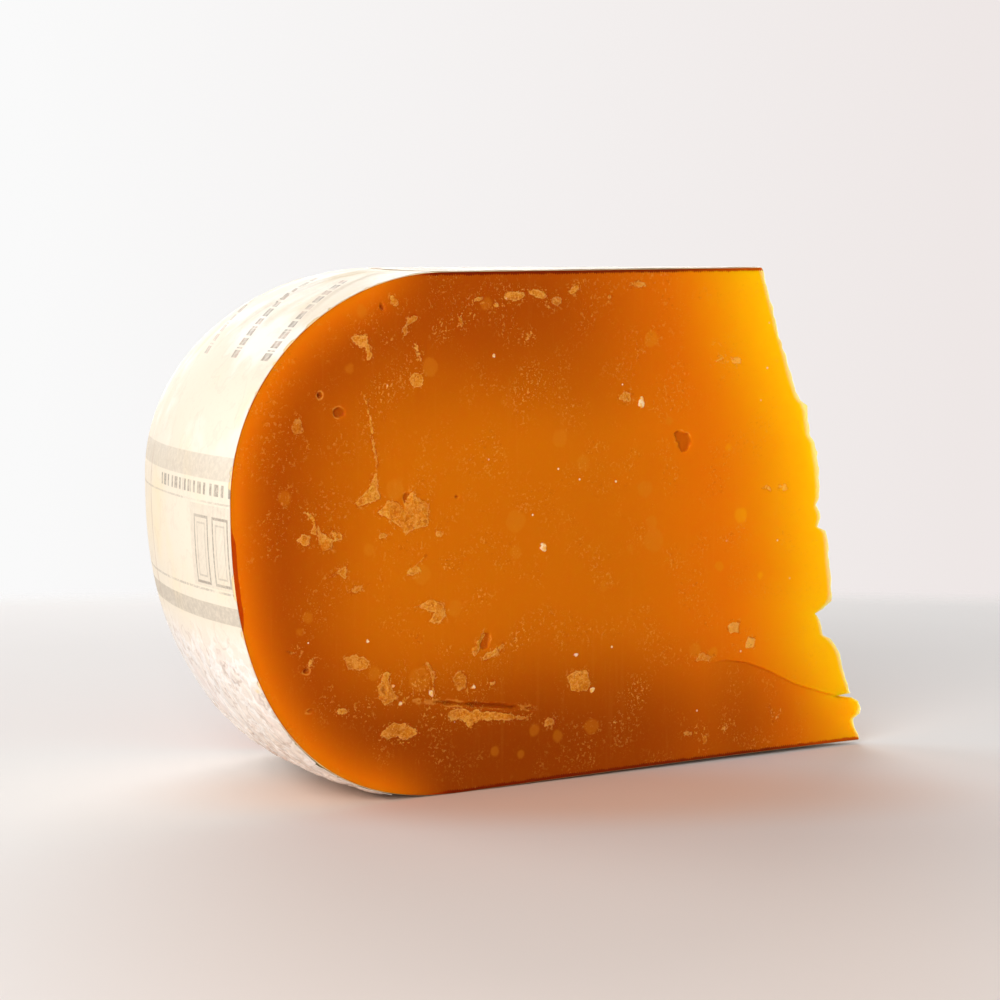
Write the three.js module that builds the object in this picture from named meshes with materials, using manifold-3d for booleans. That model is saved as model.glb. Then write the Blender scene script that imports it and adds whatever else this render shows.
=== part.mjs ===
// A wedge cut by hand from a long-aged, full-sided cheese wheel: the paste with its own rind,
// the food-grade coat over the rind, the paper band round the side and the paper disc on top.
// Millimetres, +Z up. The pieces are shaped with the wheel's axis on x = y = 0, its rim towards
// -X, the front cut on the plane y = 0 and the underside on z = 0, and are centred at the end.
import * as THREE from 'three';
import { mergeVertices } from 'three/addons/utils/BufferGeometryUtils.js';
import Module from 'manifold-3d';

// Wheel, measured over the labels
const WHEEL_RADIUS = 168;
const WHEEL_HEIGHT = 120;
const WIDEST_HEIGHT = 70;
const UPPER_SHOULDER = 56; // how far in from the rim the upper shoulder starts
const LOWER_SHOULDER = 60;
const UPPER_POWER = 2; // 2 is an ellipse, more is fuller
const LOWER_POWER = 2.44;
const DISH_RISE = 2.2; // the underside lifts this much at the wheel's centre
const DISH_RADIUS = 60;

// Layers, as depths below the outside of the labels
const LABEL_DEPTHS = { outer: 0, inner: 0.4 };
const COAT_DEPTHS = { outer: 0.7, inner: 1.2 };
const PASTE_DEPTH = 1.5;

// Labels, as directions from the middle of the shoulder: -90 is straight down, 90 straight up
const BAND_LOWER_EDGE = -76;
const BAND_UPPER_EDGE = 86;
const DISC_RADIUS = 114.5;

// Cuts
const WEDGE_ANGLE = 29;
const TIP_FOOT = 15.5; // where the two cuts meet at the underside, past the wheel's axis
const TIP_LEAN = 0.27; // how far that meeting line leans back for each millimetre of height

// Where the thin tip has crumbled off, as x, z from the top down
const CRUMBLED_TIP = [
  [-21, 122], [-20.5, 118], [-12.5, 95.5], [-7.5, 84.5], [-4, 72], [-2.8, 58], [-0.2, 54.5],
  [1.8, 45], [2, 38], [-2, 34.5], [-0.4, 29], [6.8, 15.5], [5, 12.5], [10.3, 11], [11.5, 8.5],
  [9.8, 6], [11, -2],
];

// Fineness
const LATHE_STEPS = 120;
const SHOULDER_STEPS = 12;
const DISH_STEPS = 4;
const REACH = 400; // larger than the wheel, for the solids that cut it

const wasm = await Module();
wasm.setup();

const COLOURS = { paste: 0xc4620c, coat: 0xf0e2bd, band: 0xf6ead8, disc: 0xe9dcc6 };

function material(colour, roughness) {
  return new THREE.MeshStandardMaterial({ color: colour, roughness, metalness: 0 });
}

// A closed geometry as a solid for cutting: only positions, shared corners, no folded triangles
function solidFrom(geometry) {
  const bare = geometry.clone();
  bare.deleteAttribute('normal');
  bare.deleteAttribute('uv');
  const merged = mergeVertices(bare);
  const corners = merged.index.array;
  const kept = [];
  for (let i = 0; i < corners.length; i += 3) {
    const [a, b, c] = corners.slice(i, i + 3);
    if (a !== b && b !== c && c !== a) kept.push(a, b, c);
  }
  return new wasm.Manifold(new wasm.Mesh({
    numProp: 3,
    vertProperties: new Float32Array(merged.attributes.position.array),
    triVerts: new Uint32Array(kept),
  }));
}

function meshFrom(solid, name, finish) {
  const cut = solid.getMesh();
  const geometry = new THREE.BufferGeometry();
  geometry.setAttribute('position', new THREE.BufferAttribute(cut.vertProperties, 3));
  geometry.setIndex(new THREE.BufferAttribute(cut.triVerts, 1));
  geometry.computeVertexNormals();
  const mesh = new THREE.Mesh(geometry, finish);
  mesh.name = name;
  return mesh;
}

// A point on the wheel's bulging side, at a depth below the labels. The label's own depth is
// taken off the underside, so that the bare coat there lies on z = 0.
function sidePoint(degrees, depth) {
  const angle = THREE.MathUtils.degToRad(degrees);
  const across = Math.cos(angle);
  const upward = Math.abs(Math.sin(angle));
  if (degrees > 0) {
    const radius = WHEEL_RADIUS - UPPER_SHOULDER;
    return new THREE.Vector2(
      radius + (UPPER_SHOULDER - depth) * across ** (2 / UPPER_POWER),
      WIDEST_HEIGHT + (WHEEL_HEIGHT - WIDEST_HEIGHT - depth) * upward ** (2 / UPPER_POWER),
    );
  }
  const radius = WHEEL_RADIUS - LOWER_SHOULDER;
  const drop = WIDEST_HEIGHT + COAT_DEPTHS.outer - depth;
  return new THREE.Vector2(
    radius + (LOWER_SHOULDER - depth) * across ** (2 / LOWER_POWER),
    WIDEST_HEIGHT - drop * upward ** (2 / LOWER_POWER),
  );
}

function sideCurve(fromDegrees, toDegrees, depth) {
  const steps = Math.round(Math.abs(toDegrees - fromDegrees) / 90 * SHOULDER_STEPS);
  const points = [];
  for (let i = 0; i <= steps; i++) {
    points.push(sidePoint(THREE.MathUtils.lerp(fromDegrees, toDegrees, i / steps), depth));
  }
  return points;
}

// The dished middle of the underside, from the axis out
function dishCurve(depth) {
  const floor = depth - COAT_DEPTHS.outer;
  const points = [];
  for (let i = 0; i <= DISH_STEPS; i++) {
    const reach = i / DISH_STEPS;
    points.push(new THREE.Vector2(DISH_RADIUS * reach, floor + DISH_RISE * (1 - reach ** 2) ** 2));
  }
  return points;
}

// Half the wheel's section at a depth: along the underside, round the side and back over the top
function wheelSection(depth) {
  const side = sideCurve(-90, 90, depth);
  return [...dishCurve(depth), ...side, new THREE.Vector2(0, WHEEL_HEIGHT - depth)];
}

function turned(section) {
  const geometry = new THREE.LatheGeometry(section, LATHE_STEPS);
  geometry.rotateX(Math.PI / 2);
  return solidFrom(geometry);
}

function wheelPaste() {
  return turned(wheelSection(PASTE_DEPTH));
}

function wheelCoat() {
  return turned(wheelSection(COAT_DEPTHS.outer)).subtract(turned(wheelSection(COAT_DEPTHS.inner)));
}

function wheelBand() {
  const outside = sideCurve(BAND_LOWER_EDGE, BAND_UPPER_EDGE, LABEL_DEPTHS.outer);
  const inside = sideCurve(BAND_UPPER_EDGE, BAND_LOWER_EDGE, LABEL_DEPTHS.inner);
  return turned([...outside, ...inside, outside[0]]);
}

function topDisc() {
  const lower = WHEEL_HEIGHT - LABEL_DEPTHS.inner;
  const upper = WHEEL_HEIGHT - LABEL_DEPTHS.outer;
  return turned([
    new THREE.Vector2(0, lower), new THREE.Vector2(DISC_RADIUS, lower),
    new THREE.Vector2(DISC_RADIUS, upper), new THREE.Vector2(0, upper),
  ]);
}

// Everything on the outer side of a plane through a point, as a block that a cut takes away
function blockBeyond(point, outward) {
  const block = new THREE.BoxGeometry(2 * REACH, 2 * REACH, REACH);
  block.translate(0, 0, REACH / 2);
  const turn = new THREE.Quaternion().setFromUnitVectors(new THREE.Vector3(0, 0, 1), outward);
  block.applyQuaternion(turn);
  block.translate(point.x, point.y, point.z);
  return solidFrom(block);
}

function frontCut() {
  return blockBeyond(new THREE.Vector3(), new THREE.Vector3(0, -1, 0));
}

// The back cut holds the leaning line where the two cuts meet, so it is a little off upright
function backCut() {
  const angle = THREE.MathUtils.degToRad(WEDGE_ANGLE);
  const meeting = new THREE.Vector3(-TIP_LEAN, 0, 1);
  const inward = new THREE.Vector3(-Math.cos(angle), Math.sin(angle), 0);
  const outward = meeting.cross(inward).normalize().negate();
  return blockBeyond(new THREE.Vector3(TIP_FOOT, 0, 0), outward);
}

function crumbledTip() {
  const outline = new THREE.Shape();
  outline.moveTo(REACH, CRUMBLED_TIP[0][1]);
  for (const [x, z] of CRUMBLED_TIP) outline.lineTo(x, z);
  outline.lineTo(REACH, CRUMBLED_TIP.at(-1)[1]);
  const prism = new THREE.ExtrudeGeometry(outline, { depth: REACH, bevelEnabled: false });
  prism.rotateX(Math.PI / 2);
  prism.translate(0, REACH / 2, 0);
  return solidFrom(prism);
}

const cuts = [frontCut(), backCut(), crumbledTip()];

function wedgeOf(wheelPiece) {
  return cuts.reduce((piece, cut) => piece.subtract(cut), wheelPiece);
}

const wedge = new THREE.Group();
wedge.add(
  meshFrom(wedgeOf(wheelPaste()), 'cheese', material(COLOURS.paste, 0.5)),
  meshFrom(wedgeOf(wheelCoat()), 'coating', material(COLOURS.coat, 0.35)),
  meshFrom(wedgeOf(wheelBand()), 'side_label', material(COLOURS.band, 0.6)),
  meshFrom(wedgeOf(topDisc()), 'top_label', material(COLOURS.disc, 0.6)),
);

// The origin goes to the middle of the underside of the wedge's box
const size = new THREE.Box3().setFromObject(wedge);
const middle = size.getCenter(new THREE.Vector3());
wedge.position.set(-middle.x, -middle.y, -size.min.z);

const group = new THREE.Group();
group.add(wedge);
export default group;
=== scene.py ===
"""The looks of a wedge cut by hand from a long-aged, full-sided cheese wheel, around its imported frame.

Lengths are in metres. The wheel's own axis stands at Wheel.axis; u is how far a point of a cut lies from
that axis towards the rim, z is its height, and a depth is how far a point lies below the outside
of the papers.
"""
import math

import bmesh
import bpy
import numpy as np
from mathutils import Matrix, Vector
from mathutils.geometry import delaunay_2d_cdt


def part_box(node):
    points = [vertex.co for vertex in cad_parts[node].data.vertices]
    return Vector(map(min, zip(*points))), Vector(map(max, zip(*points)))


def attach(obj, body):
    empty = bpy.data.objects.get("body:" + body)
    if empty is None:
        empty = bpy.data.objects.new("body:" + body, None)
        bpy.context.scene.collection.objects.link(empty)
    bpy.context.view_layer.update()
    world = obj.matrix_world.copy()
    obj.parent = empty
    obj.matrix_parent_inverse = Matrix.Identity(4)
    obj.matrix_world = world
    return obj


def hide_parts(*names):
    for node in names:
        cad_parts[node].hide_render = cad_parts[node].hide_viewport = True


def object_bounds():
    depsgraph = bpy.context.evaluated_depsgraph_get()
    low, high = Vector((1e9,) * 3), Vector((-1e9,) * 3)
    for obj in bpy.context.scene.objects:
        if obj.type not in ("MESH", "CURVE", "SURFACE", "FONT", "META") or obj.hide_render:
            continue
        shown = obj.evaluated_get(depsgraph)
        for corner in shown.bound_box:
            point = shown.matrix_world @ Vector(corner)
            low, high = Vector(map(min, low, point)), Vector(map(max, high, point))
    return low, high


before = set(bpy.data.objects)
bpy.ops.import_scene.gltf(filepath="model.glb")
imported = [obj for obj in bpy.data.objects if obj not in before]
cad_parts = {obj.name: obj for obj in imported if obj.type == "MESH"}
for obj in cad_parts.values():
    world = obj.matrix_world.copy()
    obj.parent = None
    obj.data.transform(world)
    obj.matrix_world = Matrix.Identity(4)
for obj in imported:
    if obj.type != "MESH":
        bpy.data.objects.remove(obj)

bl_info = {
    "name": "Aged cheese wedge",
    "version": (1, 0, 0),
    "blender": (4, 5, 0),
    "location": "3D View > Sidebar > Cheese",
    "description": "Builds a hand-cut wedge of long-aged cheese with its coat and papers",
    "category": "Object",
}

MM = 0.001
CAD_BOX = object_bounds()
CAD_LOW, CAD_HIGH = CAD_BOX
BAND_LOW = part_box("side_label")[0]
DISC_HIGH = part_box("top_label")[1]

# Depths below the outside of the papers, and thicknesses
PASTE_DEPTH = 0.41 * MM
COAT_DEPTH = 0.3 * MM
COAT_THICKNESS = 0.10 * MM
SIDE_PAPER_DEPTH = 0.16 * MM
TOP_PAPER_DEPTH = 0.15 * MM
PAPER_THICKNESS = 0.08 * MM
COAT_SET_BACK = 0.15 * MM  # how far behind the cut the coat ends
CUT_SET_BACK = 0.45 * MM  # how far inside the planes of the frame a cut lies
BOX_MARGIN = 0.01 * MM  # how far inside the frame's box every piece stays


# ---------------------------------------------------------------- settings

def length(name, description, default):
    """A length that a user can change, in metres."""
    return bpy.props.FloatProperty(name=name, description=description, default=default,
                                   unit="LENGTH", precision=5)


def colour(name, description, default):
    """A colour that a user can change, as linear red, green and blue."""
    return bpy.props.FloatVectorProperty(name=name, description=description, default=default,
                                         subtype="COLOR", size=3, min=0, max=1)


class WheelSettings(bpy.types.PropertyGroup):
    """The wheel that the wedge was cut from, and its two cuts."""
    radius: length("Radius", "Wheel radius over the paper", 168 * MM)
    height: length("Height", "Wheel height over the paper", CAD_HIGH.z)
    widest: length("Widest height", "Height at which the side bulges most", 70 * MM)
    upper_shoulder: length("Upper shoulder", "How far in the upper shoulder starts", 56 * MM)
    lower_shoulder: length("Lower shoulder", "How far in the lower shoulder starts", 60 * MM)
    upper_power: bpy.props.FloatProperty(name="Upper fullness", description="2 is an ellipse", default=2)
    lower_power: bpy.props.FloatProperty(name="Lower fullness", description="2 is an ellipse", default=2.44)
    dish_rise: length("Dish rise", "How far the underside lifts at the wheel's centre", 0.95 * MM)
    dish_radius: length("Dish radius", "How far out the dished underside reaches", 108 * MM)
    angle: bpy.props.FloatProperty(name="Wedge angle", description="Angle between the two cuts",
                                   default=math.radians(28.5), subtype="ANGLE")
    tip_foot: length("Tip foot", "How far past the axis the two cuts meet at the underside", 17.3 * MM)
    tip_lean: bpy.props.FloatProperty(name="Tip lean", description="Lean of the line where the cuts meet",
                                      default=0.27)


class PasteSettings(bpy.types.PropertyGroup):
    """Colours of the paste and its rind."""
    heart: colour("Heart", "Paste in the middle of the cut", (0.60, 0.150, 0.001))
    brown: colour("Brown", "Dried paste further out", (0.39, 0.066, 0.001))
    # Dark makes the paste darker towards the underside, and colours the painted shade in pits and crevices
    dark: colour("Dark", "Dried paste close to the underside", (0.25, 0.042, 0.001))
    # Glow is painted light: paste lit from within by light through the round side and the thin tip
    painted_glow: colour("Glow", "Bright paste just under the round side", (0.84, 0.190, 0.001))
    # Tip is painted light: paste lit by light that comes through the thin tip
    tip: colour("Tip", "Thin paste at the tip", (0.98, 0.56, 0.001))
    rind: colour("Rind", "Dried rind on the flat sides", (0.17, 0.010, 0.001))
    red_rind: colour("Red rind", "Thin rind on the round side", (0.50, 0.040, 0.001))
    waxy: colour("Waxy", "Smooth torn paste", (0.64, 0.215, 0.010))
    torn: colour("Torn", "Rough torn paste", (0.78, 0.35, 0.050))
    edge: colour("Edge", "Thin torn edges", (0.88, 0.48, 0.10))
    crystal: colour("Crystal", "Ripening crystals", (0.95, 0.74, 0.46))
    # Pale is painted light: torn paste made paler near the tip by light that comes through it
    pale: colour("Pale", "Torn paste close to the tip", (0.98, 0.60, 0.13))
    # Fringe is painted light: the glow at the very edge of the thin tip
    tip_fringe_glow: colour("Fringe", "Paste at the very edge of the tip", (0.98, 0.74, 0.42))


class PaperSettings(bpy.types.PropertyGroup):
    """Colours of the coat, the papers and their printing."""
    coat: colour("Coat", "Food-grade coat over the rind", (0.86, 0.66, 0.30))
    paper: colour("Paper", "Unprinted paper", (0.78, 0.69, 0.56))
    film: colour("Film", "Shiny film over the lower shoulder", (0.86, 0.75, 0.66))
    ink: colour("Ink", "Faded printing", (0.30, 0.25, 0.20))
    # Pink also paints shade along the paper's folds
    pink: colour("Pink ink", "Worn printing", (0.52, 0.38, 0.30))
    pink_film: colour("Pink film", "Printing seen through the film", (0.80, 0.62, 0.55))
    # White also paints glints along the film's crease lines
    white: colour("White", "Glints and bare paper", (0.97, 0.95, 0.92))
    # Under is painted shade on the coat where it runs along the underside
    under: colour("Under", "Coat on the underside", (0.22, 0.10, 0.03))


class StageSettings(bpy.types.PropertyGroup):
    """The camera, the floor and the lights."""
    lens: bpy.props.FloatProperty(name="Lens", description="Focal length on a 36 mm sensor", default=111.9)
    camera: bpy.props.FloatVectorProperty(name="Camera", description="Camera position from the wheel's axis",
                                          default=(-0.49136, -0.59275, 0.1343), subtype="TRANSLATION")
    turn: bpy.props.FloatProperty(name="Turn", description="How far right of +Y the camera looks",
                                  default=math.radians(33.6), subtype="ANGLE")
    dip: bpy.props.FloatProperty(name="Dip", description="How far below level the camera looks",
                                 default=math.radians(5.39), subtype="ANGLE")
    floor_radius: length("Floor radius", "Where the pale floor fades into the background", 0.90)
    # Floor and near floor paint the floor darker at the back and lighter in front: painted light
    floor: colour("Floor", "Pale floor, at the back", (0.67, 0.66, 0.66))
    lit_near_floor: colour("Near floor", "Pale floor, in front", (0.84, 0.82, 0.81))
    # Warm floor is painted warm shade beside the wedge
    warm: colour("Warm floor", "Floor in the light that comes through the paste", (0.73, 0.45, 0.295))
    # Backdrop and far backdrop paint light falling off from left to right across the background
    backdrop: colour("Backdrop", "Pale background on the left", (0.955, 0.955, 0.955))
    far_backdrop: colour("Far backdrop", "Pale background on the right", (0.855, 0.80, 0.79))


SETTINGS = {"cheese_wheel": WheelSettings, "cheese_paste": PasteSettings,
            "cheese_paper": PaperSettings, "cheese_stage": StageSettings}


# ---------------------------------------------------------------- the wheel's shape

def smooth(low, high, value):
    """0 below low, 1 above high and an even curve between; low may be above high."""
    share = np.clip((np.asarray(value, float) - low) / (high - low), 0, 1)
    return share * share * (3 - 2 * share)


class Wheel:
    """Points on the wheel and on its two cuts. x and y are measured from the wheel's axis."""

    def __init__(self, settings):
        self.s = settings
        self.axis = np.array((BAND_LOW.x + settings.radius, CAD_LOW.y, 0.0))

    def side(self, degrees, depth):
        """Radius and height of the bulging side, from -90 straight down to 90 straight up."""
        s = self.s
        across = np.cos(np.radians(degrees))
        upward = np.abs(np.sin(np.radians(degrees)))
        high = (s.radius - s.upper_shoulder + (s.upper_shoulder - depth) * across ** (2 / s.upper_power),
                s.widest + (s.height - s.widest - depth) * upward ** (2 / s.upper_power))
        low = (s.radius - s.lower_shoulder + (s.lower_shoulder - depth) * across ** (2 / s.lower_power),
               s.widest - (s.widest + COAT_DEPTH - depth) * upward ** (2 / s.lower_power))
        return tuple(np.where(np.asarray(degrees) > 0, a, b) for a, b in zip(high, low))

    def underside(self, radius, depth):
        """Height of the underside, which lifts towards the wheel's centre."""
        share = np.clip(radius / self.s.dish_radius, 0, 1)
        return depth - COAT_DEPTH + self.s.dish_rise * (1 - share ** 2)

    def tip(self, z):
        """How far past the axis the two cuts meet, at a height."""
        return self.s.tip_foot - self.s.tip_lean * z

    def thickness(self, u, z):
        """How thick the wedge is where a cut has the point u, z."""
        return (u + self.tip(z)) * 2 * math.sin(self.s.angle / 2)

    def inset(self, u, z):
        """How far the cut faces lie inside the planes of the frame, less at the thin tip."""
        return np.minimum(CUT_SET_BACK, 0.2 * self.thickness(u, z))

    def front(self, u, z, inset):
        """A point of the front cut."""
        return np.stack((-u, inset + 0 * u, z + 0 * u), -1)

    def back(self, u, z, inset):
        """A point of the back cut."""
        angle = self.s.angle
        along = u + self.tip(z)
        x = self.tip(z) - along * math.cos(angle) - inset * math.sin(angle)
        y = along * math.sin(angle) - inset * math.cos(angle)
        return np.stack((x, y, z + 0 * u), -1)

    def back_reach(self, radius, z):
        """u on the back cut of the point at a radius from the axis."""
        t = self.tip(z)
        angle = self.s.angle
        along = t * math.cos(angle) + np.sqrt(radius ** 2 - (t * math.sin(angle)) ** 2)
        return along - t

    def back_turn(self, radius, z):
        """Angle about the axis from the front cut to the back cut, at a radius and height."""
        along = self.back_reach(radius, z) + self.tip(z)
        return np.arcsin(along * math.sin(self.s.angle) / radius)

    def between(self, front, back, share, bulge):
        """Points between the two cuts: round the axis where bulge is 1, straight across where 0."""
        chord = front * (1 - share) + back * share
        radius = [np.hypot(p[..., 0], p[..., 1]) for p in (front, back)]
        turn = [np.arctan2(p[..., 1], -p[..., 0]) for p in (front, back)]
        r = radius[0] * (1 - share[..., 0]) + radius[1] * share[..., 0]
        a = turn[0] * (1 - share[..., 0]) + turn[1] * share[..., 0]
        arc = np.stack((-r * np.cos(a), r * np.sin(a), chord[..., 2]), -1)
        return chord * (1 - bulge) + arc * bulge


# Where the thin tip has crumbled off, as x and z in millimetres from the top down
CRUMBLED_TIP = (
    (-21.2, 120.5), (-20.0, 116.5), (-18.4, 111.6), (-16.8, 107.2), (-16.4, 105.5), (-15.5, 102.8),
    (-13.5, 97.8),
    (-11.9, 93.3), (-10.3, 89.8), (-9.0, 87.1), (-6.9, 85.8), (-6.4, 81.8), (-5.7, 78.1), (-4.3, 76.5),
    (-3.8, 73.5),
    (-3.1, 70.5), (-2.7, 65.5), (-2.7, 62.3), (-3.5, 61.1), (-2.3, 58.8), (-2.2, 57.5), (-2.9, 55.5),
    (-0.4, 54.4),
    (0.2, 51.6), (0.8, 47.8), (1.2, 44), (1.7, 39.7), (1.7, 36.7), (-0.8, 35), (-3.4, 33.9), (-2.4, 32.7),
    (-1.4, 30.4), (-0.8, 28.3), (1.4, 27.4), (2.9, 25.8), (4.5, 23.4), (5.6, 19.8), (6.6, 16.7),
    (7.9, 13.6),
    (8.1, 13), (3.5, 12.7), (8.6, 11.9), (10.9, 10.7), (11.4, 9.1), (11.1, 7.6), (9.1, 6.4), (9.7, 4.2),
    (11, 2),
)


def value_noise(points, cell, seed):
    """Smooth noise from -1 to 1 at points of any dimension, on a lattice of the given cell."""
    scaled = np.asarray(points, float) / cell
    base = np.floor(scaled).astype(np.int64)
    part = scaled - base
    part = part * part * (3 - 2 * part)
    total = np.zeros(scaled.shape[:-1])
    dims = scaled.shape[-1]
    for corner in range(2 ** dims):
        bits = [(corner >> d) & 1 for d in range(dims)]
        key = np.full(scaled.shape[:-1], seed * 7919 + 17, np.int64)
        weight = np.ones(scaled.shape[:-1])
        for d, bit in enumerate(bits):
            key = (key * 1000003) ^ ((base[..., d] + bit) * 2654435761)
            weight *= part[..., d] if bit else 1 - part[..., d]
        key = (key ^ (key >> 15)) * 2246822519
        key = (key ^ (key >> 13)) * 3266489917
        total += weight * ((key >> 16) & 0xFFFF) / 32767.5
    return total - 1


def rough_noise(points, cell, seed, octaves=3):
    """Layers of value noise, each twice as fine and half as strong, from about -1 to 1."""
    layers = [value_noise(points, cell / 2 ** k, seed + k) / 2 ** k for k in range(octaves)]
    return sum(layers) / 1.4


def resample(points, step):
    """Evenly spaced points along a line of points, both ends kept."""
    gaps = np.hypot(*np.diff(points, axis=0).T)
    run = np.concatenate(([0], np.cumsum(gaps)))
    count = max(2, int(round(run[-1] / step)) + 1)
    where = np.linspace(0, run[-1], count)
    return np.stack([np.interp(where, run, points[:, k]) for k in range(2)], -1)


def outside_line(wheel, depth, step):
    """The wedge's outside as u, z: along the underside from the tip, up the side, back to the tip."""
    s = wheel.s
    foot_u = -CRUMBLED_TIP[-1][0] * MM
    top_u = -CRUMBLED_TIP[0][0] * MM
    under_u = np.linspace(foot_u, s.radius - s.lower_shoulder, 200)
    under = np.stack((under_u, wheel.underside(np.abs(under_u), depth)), -1)
    round_side = np.stack(wheel.side(np.linspace(-90, 90, 900), depth), -1)
    top = np.array([(top_u, s.height - depth)])
    return resample(np.concatenate((under, round_side[1:], top)), step)


def ragged_line(step, seed):
    """The crumbled tip as u, z, from the top down, with fine random steps."""
    anchors = np.array([(-x, z) for x, z in CRUMBLED_TIP]) * MM
    line = resample(anchors, step)
    fine = rough_noise(line, 2 * MM, seed, 4) * 0.35 * MM
    run = np.arange(len(line)) * step
    ends = smooth(0, 3 * MM, run) * smooth(0, 3 * MM, run[::-1])
    line[:, 0] += fine * ends
    line[:, 0] = np.maximum(line[:, 0], -CAD_HIGH.x + wheel_axis_x() + 0.02 * MM)
    return line


def wheel_axis_x():
    """x of the wheel's axis in the frame."""
    return BAND_LOW.x + bpy.context.scene.cheese_wheel.radius


# ---------------------------------------------------------------- features of a cut face

# Torn flakes on the front cut: how far each stands out and its corners, in millimetres
FLAKE_SHAPES = (
    (0.45, ((130.5, 66), (127.5, 68.5), (125, 68.5), (123.5, 66.5), (121, 71), (119.5, 69), (116.5, 67.5),
            (116.5, 62), (122.5, 61), (125, 63))),
    (0.35, ((136, 68.5), (133, 71), (130.5, 75.5), (130, 71), (129, 69), (133, 68), (135, 67.3))),
    (0.35, ((146, 64.5), (144, 62), (141.5, 60.5), (142, 58.5), (144.5, 58), (145.5, 60))),
    (0.30, ((142.5, 63), (139.5, 62), (139.5, 60.5), (141.5, 60))),
    (0.15, ((151, 61), (149.5, 62.5), (147.5, 61.5), (148, 59.5), (149.5, 59.3))),
    (0.25, ((149.5, 67), (148, 67.2), (146, 65), (146, 61.5), (147.5, 62.5), (147.2, 65.2))),
    (0.30, ((130, 60), (129.5, 61.5), (127, 61), (128, 60))),
    (0.35, ((143.5, 52), (141, 53.5), (138, 55), (138.5, 51.3), (140.5, 52.5))),
    (0.35, ((123.5, 51), (121.5, 53), (117.5, 55.5), (119.5, 53.3), (118.5, 52), (120.5, 51.2))),
    (0.45, ((121.5, 44), (115.5, 45.3), (113, 44.5), (111.8, 41.5), (113.5, 39.3), (117, 40.3),
            (115.3, 42.3))),
    (0.40, ((105.2, 33), (102, 37), (101, 36), (103.2, 32), (104.5, 31.5))),
    (0.40, ((103, 31), (100, 32), (96.5, 33.7), (97, 32.2), (102, 29.8))),
    (0.35, ((130.5, 26.5), (129, 29.3), (127, 29.5), (127.5, 27), (124.5, 23.5), (128.5, 21.8), (130, 24))),
    (0.20, ((110.5, 27), (108.5, 28.5), (106.5, 27), (106.5, 24), (109, 23.3))),
    (0.50, ((130, 15.5), (126, 18.3), (122.5, 17), (119, 14.5), (122.5, 13.8), (127.5, 14.3))),
    (0.25, ((125.5, 13.2), (121, 13.4), (122, 12.6))),
    (0.30, ((112.2, 18.8), (110.5, 19.9), (101, 18.4), (89, 16.2), (89.5, 15.2), (101, 16.2), (103.5, 16),
            (105.5, 14.6), (108, 16.8), (110.8, 16.8))),
    (0.20, ((125, 22.3), (120.5, 24.7), (122.5, 23.2), (124, 21.7))),
    (0.12, ((139, 33.7), (136, 34.6), (132.5, 32.5), (133, 30.4), (138, 31))),
    (0.25, ((118, 31.2), (116, 30), (115, 28), (115.2, 23.5), (117.2, 21.5), (116, 25), (116.4, 28))),
    (0.25, ((137, 105.5), (132.5, 106), (132.3, 104), (131.3, 101), (132.7, 100.3), (133.5, 103),
            (136, 103.3))),
    (0.30, ((122, 109.5), (120.5, 110.7), (119.5, 109.5), (121, 108.3), (123, 107.3))),
    (0.25, ((123.7, 107.5), (122.5, 107.7), (121.8, 106), (123, 104.8), (123.7, 106))),
    (0.15, ((120.7, 104), (119.3, 103.6), (118.7, 99.8), (119.6, 101))),
    (0.20, ((122, 96.5), (118.5, 97.2), (117.8, 95.5), (118.5, 93.8), (120.5, 93.8), (122.2, 95.5))),
    (0.20, ((134.2, 92.5), (133.2, 90.5), (132.3, 86), (131.2, 80), (130.4, 75.5), (130, 77),
            (131.4, 85), (132.6, 91))),
    (0.15, ((78.6, 24.5), (75.5, 26), (72.6, 25.3), (71.2, 22.5), (72.5, 20.3), (77, 21))),
    (0.30, ((64, 89.7), (62, 91), (59.8, 90.3), (60.2, 88.6), (62.5, 88.2))),
    (0.30, ((31.2, 32.8), (29.4, 34), (27.2, 33.2), (27.6, 30.9), (30, 30.8))),
    (0.30, ((25.8, 28.4), (24.2, 29.8), (22.2, 29), (23, 27), (25, 27))),
    (0.20, ((20.5, 66), (18, 66.6), (17.9, 65.2))),
    (0.20, ((15.6, 66.3), (13, 66.8), (12.6, 65), (14, 64.8))),
    (0.25, ((17.8, 11.8), (17.2, 12), (16.2, 8.8), (14.6, 9.6), (13.6, 11.2), (14.2, 9), (16.4, 7.8))),
    (0.20, ((40.8, 25.2), (38.6, 26.8), (34.8, 26), (36.4, 24.8))),
)
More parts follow.
